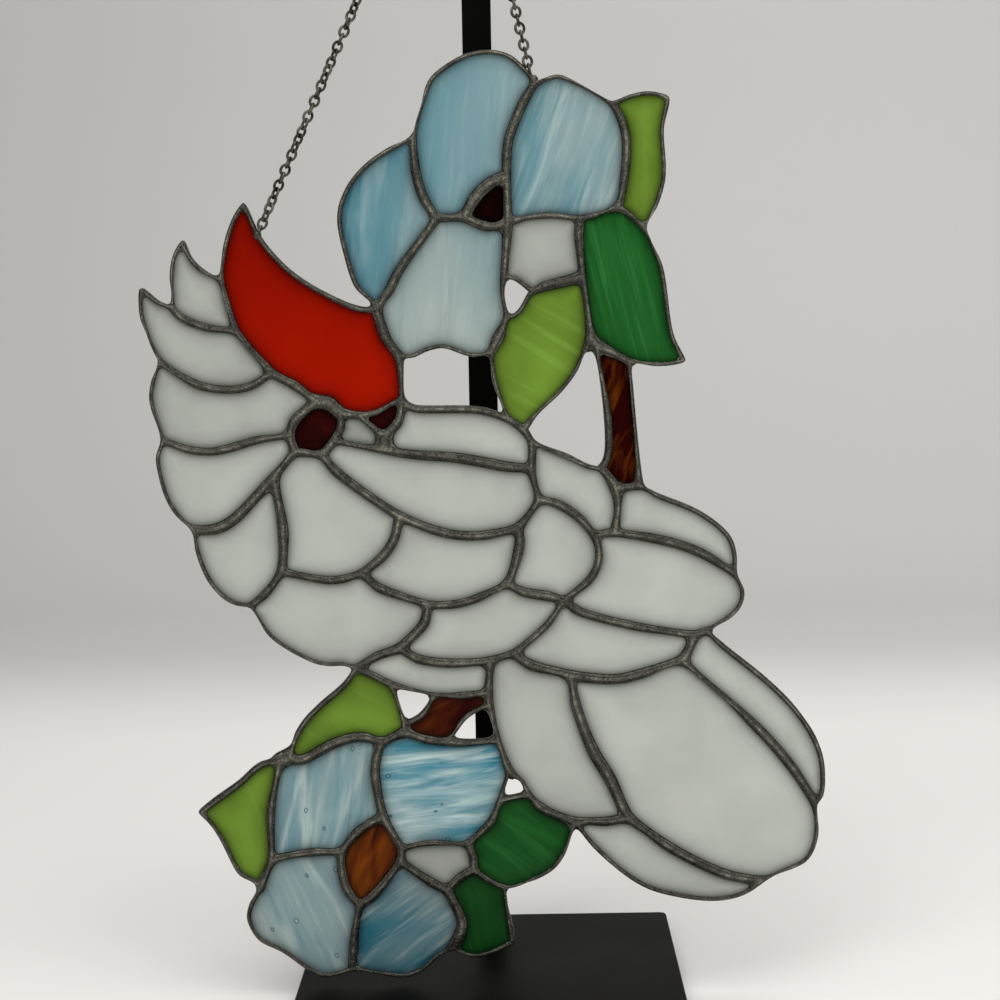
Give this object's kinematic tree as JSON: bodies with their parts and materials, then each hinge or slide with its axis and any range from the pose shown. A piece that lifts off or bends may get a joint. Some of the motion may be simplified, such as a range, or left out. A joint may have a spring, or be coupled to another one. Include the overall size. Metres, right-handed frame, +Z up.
{
  "type": "stained glass suncatcher",
  "caption": "Leaded glass panel of a crested bird between two flowers, hung by a chain from the hook of a flat black steel display stand.",
  "frame": {"origin": "middle of the underside of the stand's base plate", "axes": "+Z up; the front of the panel faces -Y; +X is to the right of a viewer who faces it"},
  "size_m": [0.2596, 0.15, 0.457],
  "materials": {
    "white_glass": "opalescent, milky white",
    "sky_glass": "pale blue with wispy white streaks",
    "sea_glass": "deeper blue with white streaks",
    "lime_glass": "translucent yellow green",
    "forest_glass": "streaky dark green",
    "amber_glass": "dark amber with orange streaks",
    "garnet_glass": "very dark red",
    "flame_glass": "red turning to orange at one end",
    "solder": "dull dark patina with worn bright crests",
    "chain_steel": "tarnished steel wire",
    "black_steel": "satin black"
  },
  "bodies": {
    "root": {"petal_left": "sea_glass", "petal_high": "sky_glass", "petal_right": "sky_glass", "petal_low": "sky_glass", "petal_small": "white_glass", "flower_heart": "garnet_glass", "leaf_tall": "lime_glass", "leaf_dark": "forest_glass", "leaf_lime": "lime_glass", "stem": "amber_glass", "crest": "flame_glass", "crest_feather_upper": "white_glass", "crest_feather_lower": "white_glass", "ruff_upper": "white_glass", "ruff_middle": "white_glass", "ruff_lower": "white_glass", "cheek": "white_glass", "eye": "garnet_glass", "face": "white_glass", "beak": "garnet_glass", "nape": "white_glass", "neck": "white_glass", "shoulder": "white_glass", "breast": "white_glass", "belly_upper": "white_glass", "belly_lower": "white_glass", "back_upper": "white_glass", "back_middle": "white_glass", "wing_upper": "white_glass", "wing_middle": "white_glass", "wing_lower": "white_glass", "tail_inner": "white_glass", "tail_broad": "white_glass", "tail_outer": "white_glass", "tail_lower": "white_glass", "twig": "amber_glass", "low_leaf_lime": "lime_glass", "low_leaf_tip": "lime_glass", "low_petal_left": "sky_glass", "low_petal_right": "sea_glass", "low_petal_foot": "sky_glass", "low_petal_base": "sea_glass", "low_flower_heart": "amber_glass", "low_petal_small": "white_glass", "low_leaf_dark": "forest_glass", "low_leaf_foot": "forest_glass", "solder_lattice": "solder", "chain_left": "chain_steel", "chain_right": "chain_steel", "stand_base": "black_steel", "stand_bar": "black_steel"}
  },
  "joints": []
}
